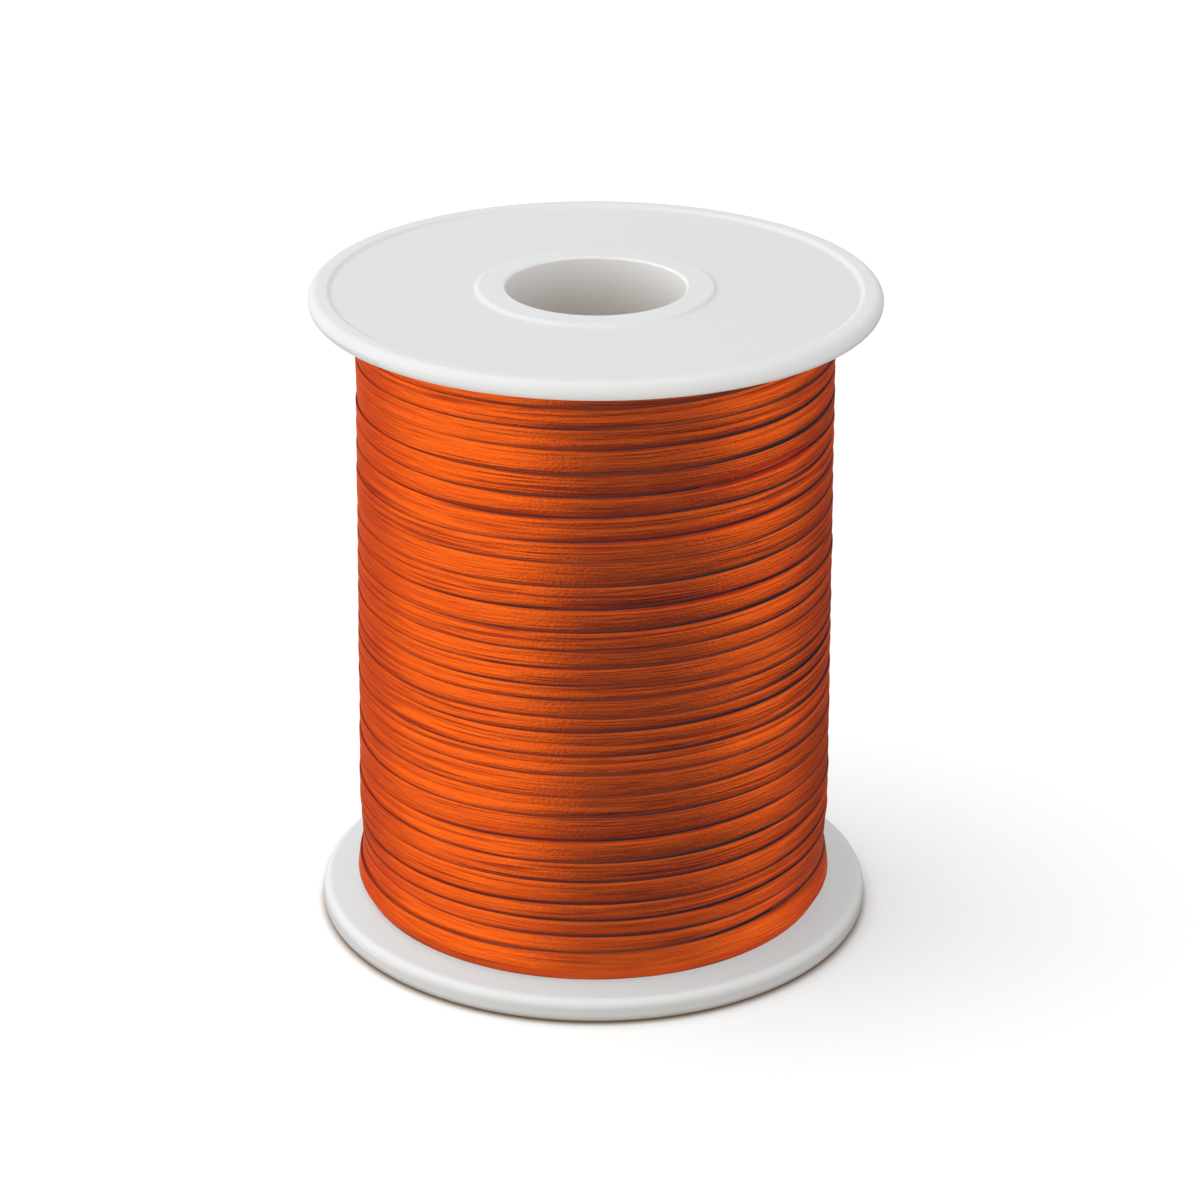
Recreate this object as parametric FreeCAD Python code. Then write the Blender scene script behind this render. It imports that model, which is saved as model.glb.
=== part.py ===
# Ribbon spool: a core tube with a flange pressed into each end, wound with narrow curling ribbon.
# Millimetres. +Z is the spool's axis. The origin is the centre of the face that the spool stands on.
import FreeCAD, Part
import math
import os

# Whole spool
SPOOL_HEIGHT = 112.5
FLANGE_DIAMETER = 95.0
BORE_DIAMETER = 30.0

# Flanges: a raised rim and a raised boss stand round a shallow recessed web, with soft slopes between
BOTTOM_FLANGE_THICKNESS = 4.2
TOP_FLANGE_THICKNESS = 3.2
RIM_WIDTH = 3.5
RIM_NOSE_RADIUS = 1.5
BOSS_DIAMETER = 39.6
WEB_RECESS = 0.5
RECESS_SLOPE_WIDTH = 0.6
RECESS_ROUNDING = 0.8
BORE_LIP_RADIUS = 0.5

# Core tube, and the spigots that press into its ends
TUBE_OUTER_DIAMETER = 40.0
TUBE_WALL = 2.0
SPIGOT_LENGTH = 20.0
SPIGOT_CLEARANCE = 0.15
SPIGOT_LEAD_IN = 1.2
CRUSH_RIB_COUNT = 6
CRUSH_RIB_RADIUS = 0.8
CRUSH_RIB_BITE = 0.2

# Ribbon, wound from the tube out: a slight taper, a waist, and a swelling against the lower flange
WINDING_TOP_RADIUS = 39.8
WINDING_LOWER_RADIUS = 40.8
WINDING_LOWER_HEIGHT = 20.0
WAIST_RADIUS = 40.3
WAIST_HEIGHT = 12.5
SWELLING_RADIUS = 41.2
SWELLING_HEIGHT = 6.4
WINDING_FOOT_RADIUS = 40.0
WINDING_BLEND_RADIUS = 6.0
SWELLING_BLEND_RADIUS = 1.2

# Clear adhesive tape at the two ends of the ribbon
TAPE_THICKNESS = 0.06
TAPE_WIDTH = 12.0
START_TAPE_LENGTH = 18.0
START_TAPE_HEIGHT = 54.0
START_TAPE_AZIMUTH = 200.0
END_TAPE_LENGTH = 24.0
END_TAPE_HEIGHT = 14.0
END_TAPE_AZIMUTH = 82.0
END_TAPE_GAP = 0.05

FLANGE_RADIUS = FLANGE_DIAMETER / 2
BORE_RADIUS = BORE_DIAMETER / 2
BOSS_RADIUS = BOSS_DIAMETER / 2
RIM_INNER_RADIUS = FLANGE_RADIUS - RIM_WIDTH
TUBE_OUTER_RADIUS = TUBE_OUTER_DIAMETER / 2
TUBE_INNER_RADIUS = TUBE_OUTER_RADIUS - TUBE_WALL
SPIGOT_RADIUS = TUBE_INNER_RADIUS - SPIGOT_CLEARANCE
WINDING_BOTTOM = BOTTOM_FLANGE_THICKNESS
WINDING_TOP = SPOOL_HEIGHT - TOP_FLANGE_THICKNESS
AXIS = FreeCAD.Vector(0, 0, 1)
ORIGIN = FreeCAD.Vector(0, 0, 0)


def rounded_outline(corners):
    """A closed wire in the XZ plane. Each corner is (radius from the axis, height, rounding)."""
    points = [FreeCAD.Vector(radius, 0, height) for radius, height, rounding in corners]
    runs = []
    for index, (radius, height, rounding) in enumerate(corners):
        corner = points[index]
        backward = (points[index - 1] - corner).normalize()
        forward = (points[(index + 1) % len(points)] - corner).normalize()
        half_angle = backward.getAngle(forward) / 2
        reach = rounding / math.tan(half_angle)
        inward = (backward + forward).normalize()
        middle = corner + inward * (rounding / math.sin(half_angle) - rounding)
        runs.append((corner + backward * reach, middle, corner + forward * reach, rounding))
    edges = []
    for index, (start, middle, end, rounding) in enumerate(runs):
        if rounding > 0:
            edges.append(Part.Arc(start, middle, end).toShape())
        next_start = runs[(index + 1) % len(runs)][0]
        if end.distanceToPoint(next_start) > 1e-6:
            edges.append(Part.LineSegment(end, next_start).toShape())
    return Part.Wire(edges)


def turned(corners, angle=360.0, first_azimuth=0.0):
    """A solid of revolution about the spool's axis, or a sector of one."""
    solid = Part.Face(rounded_outline(corners)).revolve(ORIGIN, AXIS, angle)
    solid.rotate(ORIGIN, AXIS, first_azimuth)
    return solid


def crush_rib(thickness, azimuth):
    """A ridge along the spigot, flattened to the tube's bore as it is once pressed home."""
    length = SPIGOT_LENGTH - SPIGOT_LEAD_IN
    centre = TUBE_INNER_RADIUS + CRUSH_RIB_BITE - CRUSH_RIB_RADIUS
    foot = FreeCAD.Vector(centre, 0, thickness)
    ridge = Part.makeCylinder(CRUSH_RIB_RADIUS, length, foot, AXIS)
    bore = Part.makeCylinder(TUBE_INNER_RADIUS, length, FreeCAD.Vector(0, 0, thickness), AXIS)
    rib = ridge.common(bore)
    rib.rotate(ORIGIN, AXIS, azimuth)
    return rib


def flange(thickness):
    """One flange with its spigot, its outer face down on z = 0."""
    spigot_end = thickness + SPIGOT_LENGTH
    half_slope = RECESS_SLOPE_WIDTH / 2
    body = turned([
        (BORE_RADIUS, 0, BORE_LIP_RADIUS),
        (BOSS_RADIUS - half_slope, 0, RECESS_ROUNDING),
        (BOSS_RADIUS + half_slope, WEB_RECESS, RECESS_ROUNDING),
        (RIM_INNER_RADIUS - half_slope, WEB_RECESS, RECESS_ROUNDING),
        (RIM_INNER_RADIUS + half_slope, 0, RECESS_ROUNDING),
        (FLANGE_RADIUS, 0, RIM_NOSE_RADIUS),
        (FLANGE_RADIUS, thickness, RIM_NOSE_RADIUS),
        (SPIGOT_RADIUS, thickness, 0),
        (SPIGOT_RADIUS, spigot_end, SPIGOT_LEAD_IN),
        (BORE_RADIUS, spigot_end, BORE_LIP_RADIUS),
    ])
    step = 360.0 / CRUSH_RIB_COUNT
    ribs = [crush_rib(thickness, index * step) for index in range(CRUSH_RIB_COUNT)]
    return body.fuse(ribs).removeSplitter()


def bottom_flange():
    return flange(BOTTOM_FLANGE_THICKNESS)


def top_flange():
    middle = FreeCAD.Vector(0, 0, SPOOL_HEIGHT / 2)
    return flange(TOP_FLANGE_THICKNESS).mirror(middle, AXIS)


def core_tube():
    return turned([
        (TUBE_INNER_RADIUS, WINDING_BOTTOM, 0),
        (TUBE_OUTER_RADIUS, WINDING_BOTTOM, 0),
        (TUBE_OUTER_RADIUS, WINDING_TOP, 0),
        (TUBE_INNER_RADIUS, WINDING_TOP, 0),
    ])


def tape(low_radius, high_radius, middle_height, length, azimuth):
    """A strip of tape laid round the axis, on radii that hold at its lower and upper edges."""
    low = middle_height - TAPE_WIDTH / 2
    high = middle_height + TAPE_WIDTH / 2
    angle = math.degrees(length / low_radius)
    return turned([
        (low_radius, low, 0),
        (low_radius + TAPE_THICKNESS, low, 0),
        (high_radius + TAPE_THICKNESS, high, 0),
        (high_radius, high, 0),
    ], angle, azimuth - angle / 2)


def start_tape():
    """Holds the ribbon's inner end to the tube."""
    return tape(TUBE_OUTER_RADIUS, TUBE_OUTER_RADIUS, START_TAPE_HEIGHT, START_TAPE_LENGTH,
                START_TAPE_AZIMUTH)


def end_tape():
    """Holds the ribbon's outer end down at the back, across the waist above the swelling."""
    low_radius = SWELLING_RADIUS + END_TAPE_GAP
    high_radius = WINDING_LOWER_RADIUS + END_TAPE_GAP
    return tape(low_radius, high_radius, END_TAPE_HEIGHT, END_TAPE_LENGTH, END_TAPE_AZIMUTH)


def ribbon_winding():
    """The whole ribbon as one closed solid, from the tube to its outer turns."""
    winding = turned([
        (TUBE_OUTER_RADIUS, WINDING_BOTTOM, 0),
        (WINDING_FOOT_RADIUS, WINDING_BOTTOM, 0),
        (SWELLING_RADIUS, SWELLING_HEIGHT, SWELLING_BLEND_RADIUS),
        (WAIST_RADIUS, WAIST_HEIGHT, WINDING_BLEND_RADIUS),
        (WINDING_LOWER_RADIUS, WINDING_LOWER_HEIGHT, WINDING_BLEND_RADIUS),
        (WINDING_TOP_RADIUS, WINDING_TOP, 0),
        (TUBE_OUTER_RADIUS, WINDING_TOP, 0),
    ])
    return winding.cut(start_tape())


PIECES = [bottom_flange, top_flange, core_tube, ribbon_winding, start_tape, end_tape]

os.makedirs("parts", exist_ok=True)
for piece in PIECES:
    shape = piece()
    shape.exportStep(f"parts/{piece.__name__}.step")
    print(f"{piece.__name__}: {shape.Volume / 1000:.2f} cm3, valid {shape.isValid()}")
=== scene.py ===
import math

import bpy
import numpy as np
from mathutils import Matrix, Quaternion, Vector


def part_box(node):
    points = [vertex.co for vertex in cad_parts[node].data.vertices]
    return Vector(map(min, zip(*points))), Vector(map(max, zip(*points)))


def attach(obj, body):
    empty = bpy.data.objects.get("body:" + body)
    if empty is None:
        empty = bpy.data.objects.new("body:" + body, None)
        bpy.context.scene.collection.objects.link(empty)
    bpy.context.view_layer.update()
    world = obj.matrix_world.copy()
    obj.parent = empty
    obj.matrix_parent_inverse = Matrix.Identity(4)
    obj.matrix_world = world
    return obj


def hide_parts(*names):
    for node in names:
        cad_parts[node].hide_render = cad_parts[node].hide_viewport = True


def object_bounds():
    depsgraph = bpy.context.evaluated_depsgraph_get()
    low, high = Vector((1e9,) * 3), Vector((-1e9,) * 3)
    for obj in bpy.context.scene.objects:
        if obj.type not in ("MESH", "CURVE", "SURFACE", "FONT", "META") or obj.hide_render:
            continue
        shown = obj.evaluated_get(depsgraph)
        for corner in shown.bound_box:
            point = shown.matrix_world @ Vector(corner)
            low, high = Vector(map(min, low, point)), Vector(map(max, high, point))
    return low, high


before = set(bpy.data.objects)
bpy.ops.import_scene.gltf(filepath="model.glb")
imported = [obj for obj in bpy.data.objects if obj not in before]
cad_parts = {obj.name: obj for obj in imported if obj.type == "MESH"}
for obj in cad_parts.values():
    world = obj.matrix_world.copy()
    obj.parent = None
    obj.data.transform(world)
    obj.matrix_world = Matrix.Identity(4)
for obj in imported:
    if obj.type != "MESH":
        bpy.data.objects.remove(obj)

# Ribbon spool: two white moulded flanges on a card tube, wound full with narrow orange ribbon.
# The frame is in metres, so MM turns the millimetre sizes below into its units. +Z is the spool's axis.
MM = 0.001

CAD_LOW, CAD_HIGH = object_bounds()
CENTRE = (CAD_LOW + CAD_HIGH) / 2
WINDING_LOW, WINDING_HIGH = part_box("ribbon_winding")
TUBE_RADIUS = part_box("core_tube")[1].x
END_TAPE_LOW, END_TAPE_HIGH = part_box("end_tape")

# The view
CAMERA_DISTANCE = 0.6362
CAMERA_ELEVATION = math.radians(23.40)
CAMERA_AIM_OFFSET = Vector((0.00092, 0, -0.00038))
CAMERA_ROLL = 0.0043
CAMERA_LENS = 111.65
SENSOR_WIDTH = 36

# The flanges' colours: the radii or depths between which one white gives way to another, and the whites: the
# web's a little darker than the boss and rim, painted light on the faces towards the ribbon and at the bore's
# mouths, and painted shade deep in the bore
BORE_WALL = (15.1 * MM, 15.3 * MM)
WEB_INNER_EDGE = (19.6 * MM, 20.4 * MM)
WEB_OUTER_EDGE = (43.4 * MM, 44.3 * MM)
BEHIND_INNER_FACE = (0.2 * MM, 1 * MM)
BORE_DEPTH = (1 * MM, 14 * MM)
FLANGE_WHITE = ((0.765, 0.775, 0.78), (0.79, 0.798, 0.802))
WEB_WHITE = (0.76, 0.77, 0.775)
# Painted light: the flanges' faces towards the ribbon are lighter than the rest of the white
INNER_FACE_PAINTED_LIGHT = (0.845, 0.855, 0.858)
# Painted light at the bore's mouths, giving way to painted shade, darker and warmer, deep inside the bore
BORE_MOUTH_PAINTED_LIGHT = (0.95, 0.94, 0.93)
BORE_DEEP_PAINTED_SHADE = (0.77, 0.70, 0.63)

# The ribbon's colours: its face between two oranges, the fine lines along it, and the painted shade in the
# slots between turns
RIBBON_ORANGE = ((0.68, 0.076, 0.0012), (0.94, 0.136, 0.0014))
LINE_RED = (0.40, 0.040, 0.003)
# Painted shade for the slots between turns
SLOT_PAINTED_SHADE = (0.016, 0.016, 0.02)

# The card's two browns, and the tape's clear film
CARD_BROWN = ((0.13, 0.08, 0.045), (0.26, 0.17, 0.10))
TAPE_CLEAR = (0.88, 0.87, 0.82)
TAPE_ALPHA = 0.1

# Grain, in repeats per metre. For the ribbon it is along the strip, then across it
FLANGE_CLOUD = (60, 60, 60)
FLANGE_SKIN = (2600, 2600, 2600)
RIBS = (120, 2900, 1)
PEBBLES = (1500, 2000, 1)
STREAKS = (34, 1500, 1)
PATCHES = (24, 120, 1)
CARD_FIBRES = (500, 500, 1800)
TAPE_SKIN = (700, 700, 250)

# How far each grain stands out of its surface
FLANGE_SKIN_DEPTH = 0.012 * MM
RIB_DEPTH = 0.16 * MM
PEBBLE_DEPTH = 0.08 * MM
LINE_DEPTH = 0.07 * MM
CARD_FIBRE_DEPTH = 0.06 * MM
TAPE_SKIN_DEPTH = 0.02 * MM

# The range that most of a noise's values fall in
NOISE_RANGE = (0.3, 0.7)

# The floor: what it throws back at the spool, far off and close by, where it is darker to deepen the shade on
# the flange's foot, and what the camera sees of it, in the open and in the dark line of painted contact
# shadow where the flange stands on it
FLOOR_BOUNCE_FAR = (0.70, 0.67, 0.63)
FLOOR_BOUNCE_NEAR = (0.32, 0.25, 0.19)
FLOOR_NEAR = (50 * MM, 150 * MM)
FLOOR_SEEN = (0.95, 0.94, 0.935)
# Painted contact shadow: the dark ring on the floor round the flange's foot, where the glow is cut too
FLOOR_PAINTED_SHADOW = (0.42, 0.30, 0.23)
FLOOR_PAINTED_SHADOW_EDGE = (46.8 * MM, 48.4 * MM)
FLOOR_GLOW = 0.18
FLOOR_GLOW_EDGE = (47.0 * MM, 50 * MM)
FLOOR_HALF_SIDE = 3.0

# The ribbon's turns. The shown width of a turn is what the next one leaves bare, and its step is the
# share of the mean fall from turn to turn
RIBBON_WIDTH = 5.0 * MM
RIBBON_THICKNESS = 0.1 * MM
TURN_COUNT = 28.4
SEGMENTS_PER_TURN = 162
FLANGE_GAP = 0.08 * MM
FIRST_LEVEL_SHARE = 0.5
STEP_SPREAD = 0.26
STEP_LIMITS = (0.55, 1.24)
SHOWN_LIMITS = (2.0 * MM, 4.7 * MM)
SWAY = 0.10 * MM
SWAY_FADE = 3 * MM
START_SINK = 0.5 * MM
START_SINK_SHARE = 0.35
RIBBON_SEED = 11

# The ribbon's section. A turn leans in towards its lower edge, and its foot dives behind the next turn.
# The next turn's upper edge is rounded back to meet it, and SLOT opens a gap between them
LEAN = 0.40 * MM
DIVE = 0.30 * MM
DIVE_LENGTH = 0.75 * MM
FOOT_TUCK = 0.15 * MM
FOOT_TUCK_LENGTH = 0.6 * MM
SLOT = 0.34 * MM
LEAST_SEAT = 0.02 * MM
EDGE_ROUND = 0.45 * MM
EDGE_CHAMFER = 0.03 * MM
CREASE_DEPTH = 0.13 * MM
CREASE_ABOVE = 0.3 * MM
CREASE_BELOW = 0.12 * MM
HIGHEST_FOLD = 1.0 * MM
FOLD_MARGIN = 1.4 * MM
SWELL = 0.04 * MM

# How unevenly the turns lie: the spread of a wandering factor, its spacing in turns, and its least value
DIVE_UNEVENNESS = (0.4, 0.13, 0.2)
LEAN_UNEVENNESS = (0.3, 0.3, 0.3)

# Places where the turns lie close together: the azimuth, the span about it, and the share that closes
PRESSED_PLACE = (math.radians(-154), math.radians(48), 0.85)
CLOSED_PLACES = [PRESSED_PLACE, (math.radians(6), math.radians(26), 0.7)]

# How dark the slots are painted: the step that is painted in full, the least for any step, and how much
# of it fades at the pressed place. Then the share that each of the 20 rings of points round the strip
# takes, from its upper edge down its face and back up its underside
FULL_SHADE_DEPTH = 0.6 * MM
LEAST_SHADE = 0.5
PRESSED_FADE = 0.7
EDGE_SHADE = [0.9, 0.3] + [0] * 18
FOOT_SHADE = [0] * 9 + [0.1, 0.85] + [1] * 9
BARE_SHADE = [0] * 11 + [0.8] * 9

# The ribbon's last turns, which nothing covers, and its end, which rises to the tape
LAST_TURN_SHARE = 1.15
RISE_SHARE = 0.3
BARE_BLEND = 0.1
END_LIFT = 0.2 * MM
END_LIFT_LEAD = 0.3
END_LIFT_SHARE = 0.25
RIBBON_END_AZIMUTH = math.radians(82)
RIBBON_END_RISE = 7.0 * MM

# The layers under the outer run
INNER_LAYERS_DEPTH = 1.3 * MM
TUBE_GAP = 0.08 * MM
INNER_LAYERS_STEPS = 128
INNER_LAYERS_LEVELS = 60
WINDING_STEM_RADIUS = 30 * MM

# The tape over the ribbon's end
TAPE_LENGTH = 24 * MM
TAPE_THICKNESS = 0.06 * MM
TAPE_TEETH = 9
TAPE_TOOTH_DEPTH = 0.5 * MM
TAPE_LIFT = 0.32 * MM
TAPE_COLUMNS = 81
TAPE_RIPPLE = 0.03 * MM
TAPE_SEED = 5

# The sky. A panel is its azimuth in degrees from the front, positive to the right, its half width, its
# softness and its strength. Each pair is the two heights, as sines of the elevation, that a light eases
# between
KEY_PANEL = (-67, 44, 17, 1.06)
KEY_END_PANEL = (-142, 28, 14, 0.4)
FILL_PANEL = (86, 24, 14, 0.68)
KEY_FOOT = (-0.98, -0.65)
FILL_FOOT = (-0.9, -0.2)
PANEL_TOP = (0.8, 0.35)
ZENITH = (0.6, 0.85)
ZENITH_STRENGTH = 0.16
ALL_ROUND_FOOT = (-0.65, -0.1)
ALL_ROUND_STRENGTH = 0.50
LEAST_STRENGTH = 0.015
SEEN_STRENGTH = 0.98

# Softboxes: name, azimuth and elevation in degrees, distance, size, power and colour
LAMPS = [
    ("overhead", -105, 66, 1.1, 0.9, 4.3, (0.97, 0.99, 1.0)),
    ("low_front", 5, 7, 0.36, 0.3, 0.27, (1.0, 0.98, 0.95)),
]


def smooth(value):
    """Eases from 0 to 1 as the value goes from 0 to 1."""
    value = np.clip(value, 0, 1)
    return value * value * (3 - 2 * value)


def wander(random, places, spacing):
    """A smooth curve through random heights about a spacing apart, with a spread near 1."""
    count = int(np.ceil((places.max() - places.min()) / spacing)) + 3
    knots = random.normal(0, 1, count)
    offset = (places - places.min()) / spacing
    index = offset.astype(int)
    share = smooth(offset - index)
    return knots[index] * (1 - share) + knots[index + 1] * share


def mesh_object(name, points, faces, uv=None):
    """A smooth-shaded object from an array of points and a list or array of faces."""
    mesh = bpy.data.meshes.new(name)
    mesh.from_pydata([tuple(p) for p in points], [], [tuple(f) for f in faces])
    mesh.update()
    if uv is not None:
        corners = np.empty(len(mesh.loops), int)
        mesh.loops.foreach_get("vertex_index", corners)
        layer = mesh.uv_layers.new(name="strip")
        layer.data.foreach_set("uv", uv[corners].astype(np.float32).ravel())
    mesh.shade_smooth()
    piece = bpy.data.objects.new(name, mesh)
    bpy.context.scene.collection.objects.link(piece)
    return piece


# ---------------------------------------------------------------- materials

def new_material(name):
    """An empty material, with its node tree and its shader."""
    material = bpy.data.materials.new(name)
    material.use_nodes = True
    return material, material.node_tree, material.node_tree.nodes["Principled BSDF"]


def stretched_noise(tree, source, output, scale, detail):
    """Noise over the source's coordinates, with a scale for each axis in repeats per metre."""
    coordinates = tree.nodes.new(source)
    if source == "ShaderNodeUVMap":
        coordinates.uv_map = "strip"
    mapping = tree.nodes.new("ShaderNodeMapping")
    mapping.inputs["Scale"].default_value = scale
    noise = tree.nodes.new("ShaderNodeTexNoise")
    noise.inputs["Scale"].default_value = 1.0
    noise.inputs["Detail"].default_value = detail
    tree.links.new(coordinates.outputs[output], mapping.inputs["Vector"])
    tree.links.new(mapping.outputs["Vector"], noise.inputs["Vector"])
    return noise.outputs["Fac"]


def grain(tree, scale, detail):
    """Noise through the body of a piece."""
    return stretched_noise(tree, "ShaderNodeTexCoord", "Object", scale, detail)


def strip_grain(tree, scale, detail):
    """Noise over a strip, along its length and then across it."""
    return stretched_noise(tree, "ShaderNodeUVMap", "UV", scale, detail)


def ranged(tree, value, low, high, to_low, to_high):
    """The value, with its range from low to high drawn onto another, and held beyond it."""
    node = tree.nodes.new("ShaderNodeMapRange")
    node.inputs["From Min"].default_value = low
    node.inputs["From Max"].default_value = high
    node.inputs["To Min"].default_value = to_low
    node.inputs["To Max"].default_value = to_high
    tree.links.new(value, node.inputs["Value"])
    return node.outputs["Result"]


def product(tree, first, second):
    node = tree.nodes.new("ShaderNodeMath")
    node.operation = "MULTIPLY"
    tree.links.new(first, node.inputs[0])
    tree.links.new(second, node.inputs[1])
    return node.outputs["Value"]


def mixed(tree, factor, first, second):
    """A blend of two colours, each one a plain colour or another node's output."""
    node = tree.nodes.new("ShaderNodeMixRGB")
    for name, colour in (("Color1", first), ("Color2", second)):
        if isinstance(colour, tuple):
            node.inputs[name].default_value = (*colour, 1)
        else:
            tree.links.new(colour, node.inputs[name])
    tree.links.new(factor, node.inputs["Fac"])
    return node.outputs["Color"]


def bump(tree, height, distance, below=None):
    """A surface pushed out by the height, over the one below if there is one."""
    node = tree.nodes.new("ShaderNodeBump")
    node.inputs["Strength"].default_value = 1.0
    node.inputs["Distance"].default_value = distance
    tree.links.new(height, node.inputs["Height"])
    if below is not None:
        tree.links.new(below, node.inputs["Normal"])
    return node.outputs["Normal"]


def radius_from_axis(tree):
    """Distance from the spool's axis, in metres."""
    coordinates = tree.nodes.new("ShaderNodeTexCoord")
    flat = tree.nodes.new("ShaderNodeVectorMath")
    flat.operation = "MULTIPLY"
    flat.inputs[1].default_value = (1, 1, 0)
    radius = tree.nodes.new("ShaderNodeVectorMath")
    radius.operation = "LENGTH"
    tree.links.new(coordinates.outputs["Object"], flat.inputs[0])
    tree.links.new(flat.outputs["Vector"], radius.inputs[0])
    return radius.outputs["Value"]


def height_up_axis(tree):
    """Height in the frame, in metres."""
    coordinates = tree.nodes.new("ShaderNodeTexCoord")
    split = tree.nodes.new("ShaderNodeSeparateXYZ")
    tree.links.new(coordinates.outputs["Object"], split.inputs["Vector"])
    return split.outputs["Z"]


def web_mask(tree, radius):
    """1 on the web's ring, which is coloured a little darker, and 0 on the boss and rim."""
    past_boss = ranged(tree, radius, *WEB_INNER_EDGE, 0, 1)
    before_rim = ranged(tree, radius, *WEB_OUTER_EDGE, 1, 0)
    return product(tree, past_boss, before_rim)


def inner_faces(tree):
    """1 on the flanges' faces towards the ribbon, and 0 from a millimetre behind them."""
    near, far = BEHIND_INNER_FACE
    height = height_up_axis(tree)
    past_bottom = ranged(tree, height, WINDING_LOW.z - far, WINDING_LOW.z - near, 0, 1)
    before_top = ranged(tree, height, WINDING_HIGH.z + near, WINDING_HIGH.z + far, 1, 0)
    return product(tree, past_bottom, before_top)


def depth_in_bore(tree):
    """0 at either end of the bore, rising to 1 deep inside it."""
    mouth, deep = BORE_DEPTH
    height = height_up_axis(tree)
    from_top = ranged(tree, height, CAD_HIGH.z - deep, CAD_HIGH.z - mouth, 1, 0)
    from_foot = ranged(tree, height, CAD_LOW.z + mouth, CAD_LOW.z + deep, 0, 1)
    return product(tree, from_top, from_foot)


def flange_plastic():
    """Satin white moulded plastic with a very fine matte skin, painted light on the faces towards the ribbon
    and painted shade deep in the bore.
    """
    material, tree, shader = new_material("flange_plastic")
    radius = radius_from_axis(tree)
    cloud = grain(tree, FLANGE_CLOUD, 3)
    tint = mixed(tree, ranged(tree, cloud, *NOISE_RANGE, 0, 1), *FLANGE_WHITE)
    darker_web = mixed(tree, web_mask(tree, radius), tint, WEB_WHITE)
    # Painted light on the faces towards the ribbon
    inner_painted_light = mixed(tree, inner_faces(tree), darker_web, INNER_FACE_PAINTED_LIGHT)
    # Painted shade in the bore: light at its mouths, darker and warmer deep inside
    in_bore = ranged(tree, radius, *BORE_WALL, 1, 0)
    bore_painted_shading = mixed(tree, depth_in_bore(tree), BORE_MOUTH_PAINTED_LIGHT, BORE_DEEP_PAINTED_SHADE)
    tree.links.new(mixed(tree, in_bore, inner_painted_light, bore_painted_shading), shader.inputs["Base Color"])
    skin = grain(tree, FLANGE_SKIN, 2)
    tree.links.new(ranged(tree, skin, *NOISE_RANGE, 0.34, 0.46), shader.inputs["Roughness"])
    tree.links.new(bump(tree, skin, FLANGE_SKIN_DEPTH), shader.inputs["Normal"])
    shader.inputs["Specular IOR Level"].default_value = 0.5
    return material


def ribbon_colour(tree, ribs, lines, painted_slot_shade):
    """Orange between the ribs' two tones, redder in the fine lines, and a painted slate-dark shade in the
    slots.
    """
    tint = mixed(tree, ranged(tree, ribs, *NOISE_RANGE, 0, 1), *RIBBON_ORANGE)
    lined = mixed(tree, lines, tint, LINE_RED)
    return mixed(tree, painted_slot_shade, lined, SLOT_PAINTED_SHADE)


def ribbon_plastic():
    """Pearly orange ribbon, with fine ribs along its length that draw the light into upright bands."""
    material, tree, shader = new_material("ribbon_plastic")
    links = tree.links
    ribs = strip_grain(tree, RIBS, 3)
    pebbles = strip_grain(tree, PEBBLES, 2)
    streaks = strip_grain(tree, STREAKS, 2)
    patches = strip_grain(tree, PATCHES, 1)
    lines = product(tree, ranged(tree, streaks, 0.52, 0.64, 0, 1),
                    ranged(tree, patches, 0.40, 0.58, 0.15, 1))
    # The slots' painted shade, kept in a point attribute of the strip
    painted_slot_shade = tree.nodes.new("ShaderNodeAttribute")
    painted_slot_shade.attribute_name = "painted_slot_shade"
    links.new(ribbon_colour(tree, ribs, lines, painted_slot_shade.outputs["Fac"]), shader.inputs["Base Color"])
    links.new(ranged(tree, ribs, *NOISE_RANGE, 0.32, 0.42), shader.inputs["Roughness"])
    links.new(ranged(tree, painted_slot_shade.outputs["Fac"], 0.2, 1, 0.9, 0), shader.inputs["Metallic"])
    pebbled = bump(tree, pebbles, PEBBLE_DEPTH)
    cut = bump(tree, lines, LINE_DEPTH, pebbled)
    cut.node.invert = True
    links.new(bump(tree, ribs, RIB_DEPTH, cut), shader.inputs["Normal"])
    # A faint bluish painted glow over the whole ribbon, which lifts its shade and its slots
    shader.inputs["Emission Color"].default_value = (0.7, 0.8, 1, 1)
    shader.inputs["Emission Strength"].default_value = 0.010
    shader.inputs["Specular IOR Level"].default_value = 0.3
    shader.inputs["Specular Tint"].default_value = (1, 0.4, 0.1, 1)
    shader.inputs["Anisotropic"].default_value = 0.45
    shader.inputs["Anisotropic Rotation"].default_value = 0.25
    tangent = tree.nodes.new("ShaderNodeTangent")
    tangent.direction_type = "RADIAL"
    tangent.axis = "Z"
    links.new(tangent.outputs["Tangent"], shader.inputs["Tangent"])
    return material


def tube_card():
    """Grey-brown board with fibres that run round the tube."""
    material, tree, shader = new_material("tube_card")
    fibres = grain(tree, CARD_FIBRES, 4)
    tint = mixed(tree, ranged(tree, fibres, 0.25, 0.75, 0, 1), *CARD_BROWN)
    tree.links.new(tint, shader.inputs["Base Color"])
    tree.links.new(bump(tree, fibres, CARD_FIBRE_DEPTH), shader.inputs["Normal"])
    shader.inputs["Roughness"].default_value = 0.85
    return material


def tape_film():
    """Thin clear film with a faint satin skin."""
    material, tree, shader = new_material("tape_film")
    skin = grain(tree, TAPE_SKIN, 2)
    tree.links.new(ranged(tree, skin, *NOISE_RANGE, 0.08, 0.2), shader.inputs["Roughness"])
    tree.links.new(bump(tree, skin, TAPE_SKIN_DEPTH), shader.inputs["Normal"])
    shader.inputs["Base Color"].default_value = (*TAPE_CLEAR, 1)
    shader.inputs["Alpha"].default_value = TAPE_ALPHA
    return material


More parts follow.
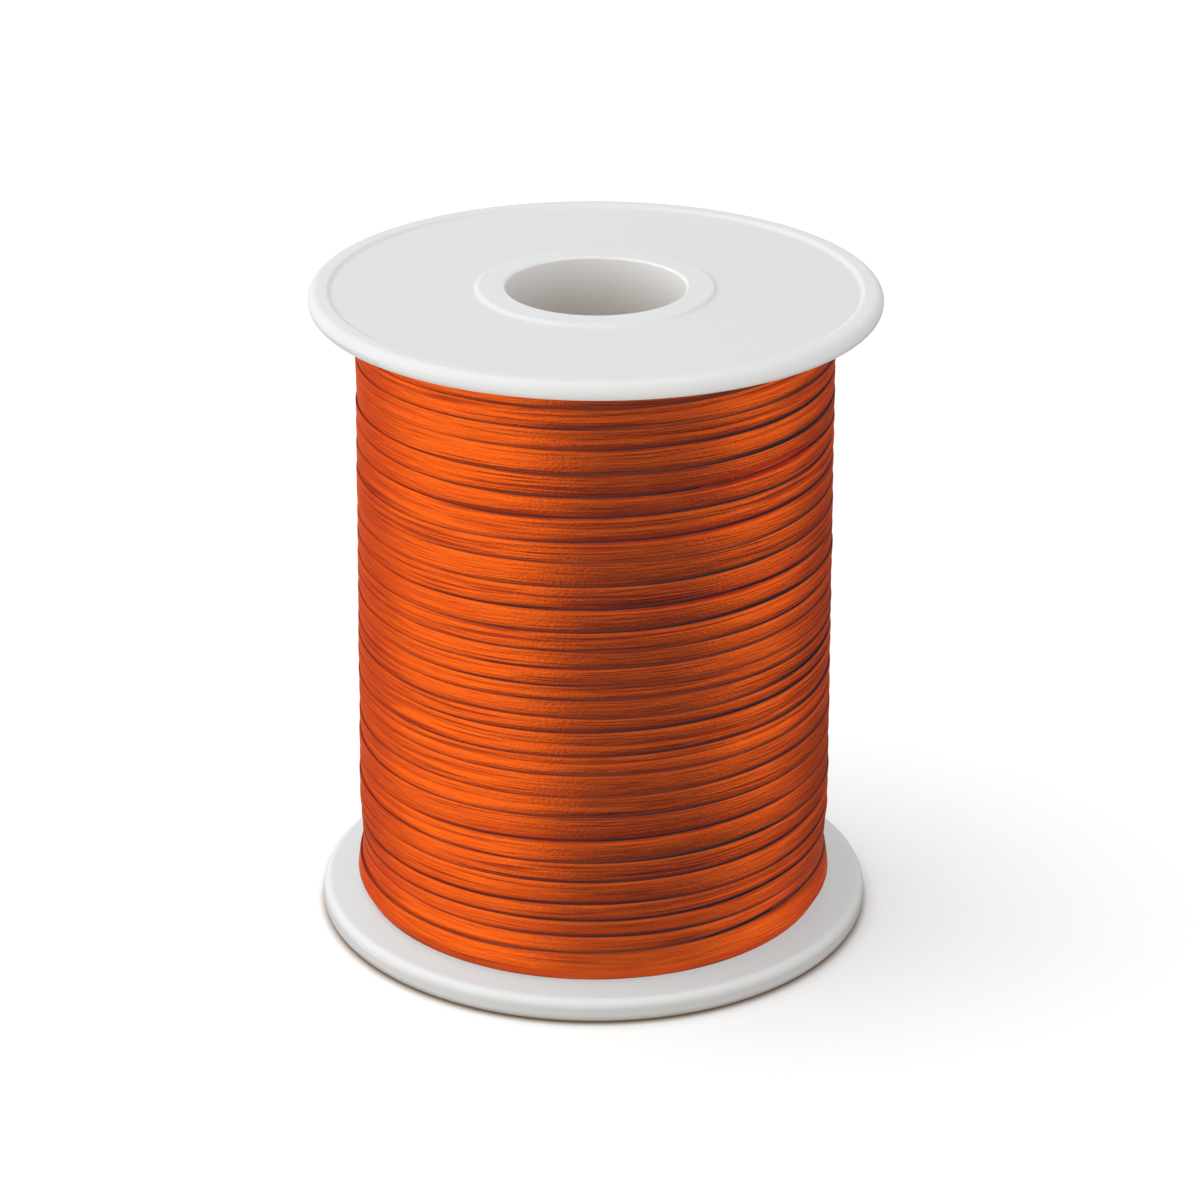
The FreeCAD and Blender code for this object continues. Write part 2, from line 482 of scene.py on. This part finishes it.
def floor_paper():
    """Pale floor that shows a little brighter to the camera than the light on it, with a painted contact
    shadow round the flange's foot.
    """
    material, tree, shader = new_material("floor_paper")
    seen = tree.nodes.new("ShaderNodeLightPath").outputs["Is Camera Ray"]
    radius = radius_from_axis(tree)
    near = ranged(tree, radius, *FLOOR_NEAR, 1, 0)
    bounce = mixed(tree, near, FLOOR_BOUNCE_FAR, FLOOR_BOUNCE_NEAR)
    # Painted contact shadow round the flange's foot, where the glow below is cut too
    painted_shadow_mask = ranged(tree, radius, *FLOOR_PAINTED_SHADOW_EDGE, 1, 0)
    pale = mixed(tree, painted_shadow_mask, FLOOR_SEEN, FLOOR_PAINTED_SHADOW)
    tree.links.new(mixed(tree, seen, bounce, pale), shader.inputs["Base Color"])
    glow = product(tree, seen, ranged(tree, radius, *FLOOR_GLOW_EDGE, 0, FLOOR_GLOW))
    tree.links.new(glow, shader.inputs["Emission Strength"])
    shader.inputs["Emission Color"].default_value = (1, 1, 1, 1)
    shader.inputs["Roughness"].default_value = 0.9
    shader.inputs["Specular IOR Level"].default_value = 0.0
    return material


# ---------------------------------------------------------------- ribbon

def winding_radius():
    """Heights and radii of the winding's outline, read from the CAD node."""
    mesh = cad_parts["ribbon_winding"].data
    points = np.empty(len(mesh.vertices) * 3)
    mesh.vertices.foreach_get("co", points)
    points = points.reshape(-1, 3)
    radius = np.hypot(points[:, 0], points[:, 1])
    outer = radius > WINDING_STEM_RADIUS
    order = np.argsort(points[outer, 2], kind="stable")
    return points[outer, 2][order], radius[outer][order]


OUTLINE_HEIGHTS, OUTLINE_RADII = winding_radius()


def outline(height):
    """The winding's radius at a height."""
    return np.interp(height, OUTLINE_HEIGHTS, OUTLINE_RADII)


def nearness(azimuth, middle, span):
    """1 at the middle azimuth, falling away to either side over about the span."""
    away = (azimuth - middle + math.pi) % (2 * math.pi) - math.pi
    return np.exp(-(away / span) ** 2)


def ribbon_path(random):
    """Turns laid so far, from the top down, and the height of the ribbon's upper edge there."""
    total = TURN_COUNT + LAST_TURN_SHARE + RISE_SHARE
    turns = np.linspace(0, total, int(total * SEGMENTS_PER_TURN) + 1)
    first = WINDING_HIGH.z - FLANGE_GAP
    last = WINDING_LOW.z + FLANGE_GAP + RIBBON_WIDTH
    step = 1 + STEP_SPREAD * wander(random, turns, 0.6)
    level = (turns < FIRST_LEVEL_SHARE) | (turns > TURN_COUNT)
    fallen = np.cumsum(np.where(level, 0.0, np.clip(step, *STEP_LIMITS)))
    height = first + (last - first) * fallen / fallen[-1]
    sway = SWAY * wander(random, turns, 0.11) + SWAY * wander(random, turns, 0.3)
    height = height + sway * (smooth((first - height) / SWAY_FADE) * smooth((height - last) / SWAY_FADE))
    rise = smooth((turns - TURN_COUNT - LAST_TURN_SHARE) / RISE_SHARE)
    return turns, height + RIBBON_END_RISE * rise


def uneven(random, turns, spread, spacing, least):
    """A factor about 1 that wanders along the ribbon and never falls below its least value."""
    return np.maximum(1 + spread * wander(random, turns, spacing), least)


def shown_width(turns, edge, bare):
    """How much of the ribbon the next turn leaves to be seen: all of it on the bare last turns."""
    following = np.interp(turns + 1, turns, edge, right=-1)
    shown = np.where(following < 0, RIBBON_WIDTH, edge - following)
    shown = np.clip(shown, *SHOWN_LIMITS)
    return shown + (RIBBON_WIDTH - shown) * bare


def turn_lie(random, turns, azimuth, bare):
    """How open the slots are, and how far the ribbon's foot dives and its face leans."""
    openness = np.ones_like(turns)
    for middle, span, share in CLOSED_PLACES:
        openness = openness - share * nearness(azimuth, middle, span)
    openness = openness * np.clip(0.85 + 0.45 * wander(random, turns, 0.14), 0.15, 1.8)
    dive = DIVE * openness * uneven(random, turns, *DIVE_UNEVENNESS)
    dive = dive * (1 - bare)
    lean = LEAN * (1 - 0.7 * bare) * (0.25 + 0.75 * openness) * uneven(random, turns, *LEAN_UNEVENNESS)
    return openness, dive, lean


def groove_shade(turns, azimuth, step_depth, bare):
    """How dark each ring of points is painted at each station: 1 deep in a slot, and 0 on the face."""
    depth = LEAST_SHADE + (1 - LEAST_SHADE) * np.clip(step_depth / FULL_SHADE_DEPTH, 0, 1)
    depth = depth * (1 - PRESSED_FADE * nearness(azimuth, *PRESSED_PLACE[:2]))
    depth_above = np.interp(turns - 1, turns, depth)
    shade = np.outer(depth_above, EDGE_SHADE) + np.outer(depth * (1 - bare), FOOT_SHADE)
    return shade + np.outer(bare, BARE_SHADE)


def strip_faces(stations, corners):
    """Quads round a strip of that many sections, with a face to close each end."""
    index = np.arange(stations * corners).reshape(stations, corners)
    a, b = index[:-1], index[1:]
    faces = np.stack([a, b, np.roll(b, -1, 1), np.roll(a, -1, 1)], 2).reshape(-1, 4).tolist()
    return faces + [index[0].tolist(), index[-1][::-1].tolist()]


def ribbon_points(random, turns, edge, azimuth):
    """The strip's points by station and ring, how far down the strip they lie, and their shade."""
    bare = smooth((turns - TURN_COUNT) / BARE_BLEND)
    shown = shown_width(turns, edge, bare)
    lifted = END_LIFT * smooth((turns - TURN_COUNT - LAST_TURN_SHARE + END_LIFT_LEAD) / END_LIFT_SHARE)
    openness, dive, lean = turn_lie(random, turns, azimuth, bare)
    crease_share = 0.5 + 0.28 * wander(random, turns, 0.35)
    crease = CREASE_DEPTH * smooth(wander(random, turns, 0.3) + 0.1)
    swell = SWELL * wander(random, turns, 0.4)

    slot = SLOT * np.interp(turns - 1, turns, openness)
    seat = np.interp(turns - 1, turns, lean + dive) - 1.1 * RIBBON_THICKNESS - slot
    seat = np.maximum(seat, LEAST_SEAT)
    low_run = shown - DIVE_LENGTH
    fold = HIGHEST_FOLD + (low_run - FOLD_MARGIN) * np.clip(crease_share, 0, 1)

    def skin(down):
        """How far the strip's surface stands from the winding's outline, down from its upper edge."""
        stand = swell + lifted - seat * (1 - smooth(down / EDGE_ROUND)) ** 1.5
        stand = stand - lean * np.clip(down / shown, 0, 1) ** 2
        stand = stand - dive * smooth((down - low_run) / DIVE_LENGTH)
        stand = stand - FOOT_TUCK * smooth((down - shown) / FOOT_TUCK_LENGTH)
        inward = np.where(down < fold, (down - fold + CREASE_ABOVE) / CREASE_ABOVE,
                          (fold + CREASE_BELOW - down) / CREASE_BELOW)
        return stand - crease * smooth(inward)

    face = [0, 0.06 * MM, 0.18 * MM, 0.3 * MM, EDGE_ROUND,
            fold - CREASE_ABOVE, fold, fold + CREASE_BELOW,
            low_run, low_run + 0.26 * MM, low_run + 0.46 * MM, shown, RIBBON_WIDTH]
    underside = [RIBBON_WIDTH, shown, low_run, fold, EDGE_ROUND, 0.18 * MM, 0]
    rings = [(np.broadcast_to(down, turns.shape), 0) for down in face]
    rings += [(np.broadcast_to(down, turns.shape), 1) for down in underside]
    rows = []
    for down, is_inside in rings:
        radius = outline(edge - down) + skin(down) - is_inside * RIBBON_THICKNESS
        radius = radius - (down == 0) * (1 - is_inside) * EDGE_CHAMFER
        radius = radius - START_SINK * (1 - smooth(turns / START_SINK_SHARE))
        rows.append(np.stack([radius * np.cos(azimuth), radius * np.sin(azimuth), edge - down], 1))
    across = np.stack([down for down, is_inside in rings], 1)
    return np.stack(rows, 1), across, groove_shade(turns, azimuth, lean + dive, bare)


def build_ribbon(material):
    """The outer run of the ribbon: one flat strip, each turn laid over the lower part of the last."""
    random = np.random.default_rng(RIBBON_SEED)
    turns, edge = ribbon_path(random)
    azimuth = RIBBON_END_AZIMUTH + 2 * math.pi * (turns[-1] - turns)
    points, across, shade = ribbon_points(random, turns, edge, azimuth)
    run = (turns * 2 * math.pi * OUTLINE_RADII.mean())[:, None]
    uv = np.stack([np.broadcast_to(run, across.shape), across], 2).reshape(-1, 2)
    faces = strip_faces(*across.shape)
    piece = mesh_object("ribbon_outer_run", points.reshape(-1, 3), faces, uv)
    # Painted shade of the slots and edges, one value for each point
    painted_slot_shade = piece.data.attributes.new("painted_slot_shade", "FLOAT", "POINT")
    painted_slot_shade.data.foreach_set("value", shade.astype(np.float32).ravel())
    piece.data.materials.append(material)
    piece.visible_diffuse = False
    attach(piece, "root")
    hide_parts("ribbon_winding")
    return piece


def build_inner_layers(material):
    """The turns under the outer run, as one body that closes the winding behind its grooves."""
    heights = np.linspace(WINDING_LOW.z + FLANGE_GAP, WINDING_HIGH.z - FLANGE_GAP, INNER_LAYERS_LEVELS)
    tube = np.full(2, TUBE_RADIUS + TUBE_GAP)
    radii = np.concatenate([tube, (outline(heights) - INNER_LAYERS_DEPTH)[::-1]])
    heights = np.concatenate([heights[[0, -1]], heights[::-1]])
    azimuth = np.arange(INNER_LAYERS_STEPS) * 2 * math.pi / INNER_LAYERS_STEPS
    risen = np.tile(heights, (INNER_LAYERS_STEPS, 1))
    points = np.stack([np.outer(np.cos(azimuth), radii), np.outer(np.sin(azimuth), radii), risen], 2)
    index = np.arange(risen.size).reshape(risen.shape)
    after = np.roll(index, -1, 0)
    faces = np.stack([index, np.roll(index, -1, 1), np.roll(after, -1, 1), after], 2).reshape(-1, 4)
    round_it = np.outer(azimuth * OUTLINE_RADII.mean(), np.ones(len(radii)))
    uv = np.stack([round_it, risen], 2).reshape(-1, 2)
    piece = mesh_object("ribbon_inner_layers", points.reshape(-1, 3), faces, uv)
    piece.data.materials.append(material)
    piece.visible_diffuse = False
    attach(piece, "root")
    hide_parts("ribbon_winding")
    return piece


def tape_faces(inner, outer):
    """Quads over both sides of a sheet and round its four edges, from its two grids of points."""
    faces = []
    for grid, flip in ((outer, False), (inner, True)):
        quads = np.stack([grid[:-1, :-1], grid[1:, :-1], grid[1:, 1:], grid[:-1, 1:]], 2).reshape(-1, 4)
        faces += (quads[:, ::-1] if flip else quads).tolist()
    columns, rows = inner.shape
    ring = [(i, 0) for i in range(columns)] + [(columns - 1, j) for j in range(1, rows)]
    ring += [(i, rows - 1) for i in range(columns - 2, -1, -1)] + [(0, j) for j in range(rows - 2, 0, -1)]
    for here, there in zip(ring, ring[1:] + ring[:1]):
        faces.append([int(inner[here]), int(inner[there]), int(outer[there]), int(outer[here])])
    return faces


def build_end_tape(material):
    """Clear film over the ribbon's end, with the toothed ends that a tape cutter leaves."""
    random = np.random.default_rng(TAPE_SEED)
    heights = np.linspace(END_TAPE_LOW.z, END_TAPE_HIGH.z, 4 * TAPE_TEETH + 1)
    tooth = np.abs((np.arange(len(heights)) / 2) % 2 - 1) * TAPE_TOOTH_DEPTH
    along = np.linspace(-1, 1, TAPE_COLUMNS)
    half = TAPE_LENGTH / 2 - tooth[None, :]
    radius = outline(heights)[None, :] + TAPE_LIFT
    azimuth = along[:, None] * half / radius.mean() + RIBBON_END_AZIMUTH
    ripple = np.stack([wander(random, heights / MM, 2.1) for _ in range(2)]).mean(0)
    radius = radius + TAPE_RIPPLE * ripple[None, :] * np.cos(3 * along[:, None] + 1)
    layers = []
    for lift in (0, TAPE_THICKNESS):
        reach = radius + lift
        layers.append(np.stack([reach * np.cos(azimuth), reach * np.sin(azimuth),
                                np.broadcast_to(heights, reach.shape)], 2))
    points = np.concatenate([layer.reshape(-1, 3) for layer in layers])
    inner = np.arange(radius.size).reshape(radius.shape)
    faces = tape_faces(inner, inner + inner.size)
    piece = mesh_object("end_tape_film", points, faces)
    piece.data.materials.append(material)
    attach(piece, "root")
    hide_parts("end_tape")
    return piece


# ---------------------------------------------------------------- studio

def build_camera():
    """The camera in front of the spool, looking down on it."""
    data = bpy.data.cameras.new("camera")
    data.lens = CAMERA_LENS
    data.sensor_width = SENSOR_WIDTH
    camera = bpy.data.objects.new("camera", data)
    bpy.context.scene.collection.objects.link(camera)
    back = Vector((0, -math.cos(CAMERA_ELEVATION), math.sin(CAMERA_ELEVATION)))
    camera.location = CENTRE + back * CAMERA_DISTANCE
    aim = CENTRE + CAMERA_AIM_OFFSET - camera.location
    camera.rotation_mode = "QUATERNION"
    camera.rotation_quaternion = aim.to_track_quat("-Z", "Y") @ Quaternion((0, 0, 1), CAMERA_ROLL)
    bpy.context.scene.camera = camera


def build_floor():
    """A wide floor under the spool, which its gloss doesn't mirror."""
    half = FLOOR_HALF_SIDE
    low = CAD_LOW.z
    corners = [(-half, -half, low), (half, -half, low), (half, half, low), (-half, half, low)]
    floor = mesh_object("floor", corners, [(0, 1, 2, 3)])
    floor.data.materials.append(floor_paper())
    floor.visible_glossy = False


def build_world():
    """Light from all round the spool: broad bright panels at the left, and a weaker one at the right."""
    world = bpy.data.worlds.new("studio")
    bpy.context.scene.world = world
    world.use_nodes = True
    tree = world.node_tree
    links = tree.links
    background = tree.nodes["Background"]
    background.inputs["Color"].default_value = (1, 1, 1, 1)
    coordinates = tree.nodes.new("ShaderNodeTexCoord")
    split = tree.nodes.new("ShaderNodeSeparateXYZ")
    links.new(coordinates.outputs["Generated"], split.inputs["Vector"])

    def maths(operation, first, second):
        node = tree.nodes.new("ShaderNodeMath")
        node.operation = operation
        for socket, value in zip(node.inputs, (first, second)):
            if isinstance(value, (int, float)):
                socket.default_value = value
            else:
                links.new(value, socket)
        return node.outputs["Value"]

    def eased(value, start, end):
        """0 at the start, easing to 1 at the end."""
        node = tree.nodes.new("ShaderNodeMapRange")
        node.interpolation_type = "SMOOTHSTEP"
        node.inputs["From Min"].default_value = start
        node.inputs["From Max"].default_value = end
        links.new(value, node.inputs["Value"])
        return node.outputs["Result"]

    def panel(middle, half_width, softness, strength):
        """Light from about one azimuth, at full strength inside the half width less the softness."""
        turned = maths("SUBTRACT", azimuth, math.radians(middle))
        wrapped = maths("WRAP", turned, math.pi)
        wrapped.node.inputs[2].default_value = -math.pi
        away = maths("ABSOLUTE", wrapped, 0)
        outer = math.radians(half_width + softness)
        inner = math.radians(half_width - softness)
        return maths("MULTIPLY", eased(away, outer, inner), strength)

    height = split.outputs["Z"]
    azimuth = maths("ARCTAN2", split.outputs["X"], maths("MULTIPLY", split.outputs["Y"], -1))
    key = maths("ADD", panel(*KEY_PANEL), panel(*KEY_END_PANEL))
    key = maths("MULTIPLY", key, eased(height, *KEY_FOOT))
    fill = maths("MULTIPLY", panel(*FILL_PANEL), eased(height, *FILL_FOOT))
    panels = maths("MULTIPLY", maths("ADD", key, fill), eased(height, *PANEL_TOP))
    zenith = maths("MULTIPLY", eased(height, *ZENITH), ZENITH_STRENGTH)
    all_round = maths("MULTIPLY", eased(height, *ALL_ROUND_FOOT), ALL_ROUND_STRENGTH)
    light = maths("ADD", maths("ADD", panels, zenith), maths("ADD", all_round, LEAST_STRENGTH))
    path = tree.nodes.new("ShaderNodeLightPath")
    choice = tree.nodes.new("ShaderNodeMix")
    links.new(path.outputs["Is Camera Ray"], choice.inputs["Factor"])
    links.new(light, choice.inputs["A"])
    choice.inputs["B"].default_value = SEEN_STRENGTH
    links.new(choice.outputs["Result"], background.inputs["Strength"])


def build_lamp(name, azimuth, elevation, distance, size, power, colour):
    """A square softbox aimed at the spool, at an azimuth in degrees from the front, positive to the right."""
    data = bpy.data.lights.new(name, "AREA")
    data.size = size
    data.energy = power
    data.color = colour
    lamp = bpy.data.objects.new(name, data)
    bpy.context.scene.collection.objects.link(lamp)
    turn, lift = math.radians(azimuth), math.radians(elevation)
    outward = Vector((math.sin(turn) * math.cos(lift), -math.cos(turn) * math.cos(lift), math.sin(lift)))
    lamp.location = CENTRE + outward * distance
    lamp.rotation_euler = outward.to_track_quat("Z", "Y").to_euler()
    lamp.visible_camera = False
    lamp.visible_glossy = False
    return lamp


def dress_cad_node(name, material):
    """Gives a carried-over CAD node its material."""
    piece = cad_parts[name]
    piece.data.materials.clear()
    piece.data.materials.append(material)


build_camera()
build_floor()
build_world()
for lamp in LAMPS:
    build_lamp(*lamp)
bpy.context.scene.view_settings.view_transform = "Standard"

plastic = flange_plastic()
tape = tape_film()
ribbon = ribbon_plastic()
dress_cad_node("bottom_flange", plastic)
dress_cad_node("top_flange", plastic)
dress_cad_node("core_tube", tube_card())
dress_cad_node("start_tape", tape)
build_ribbon(ribbon)
build_inner_layers(ribbon)
build_end_tape(tape)
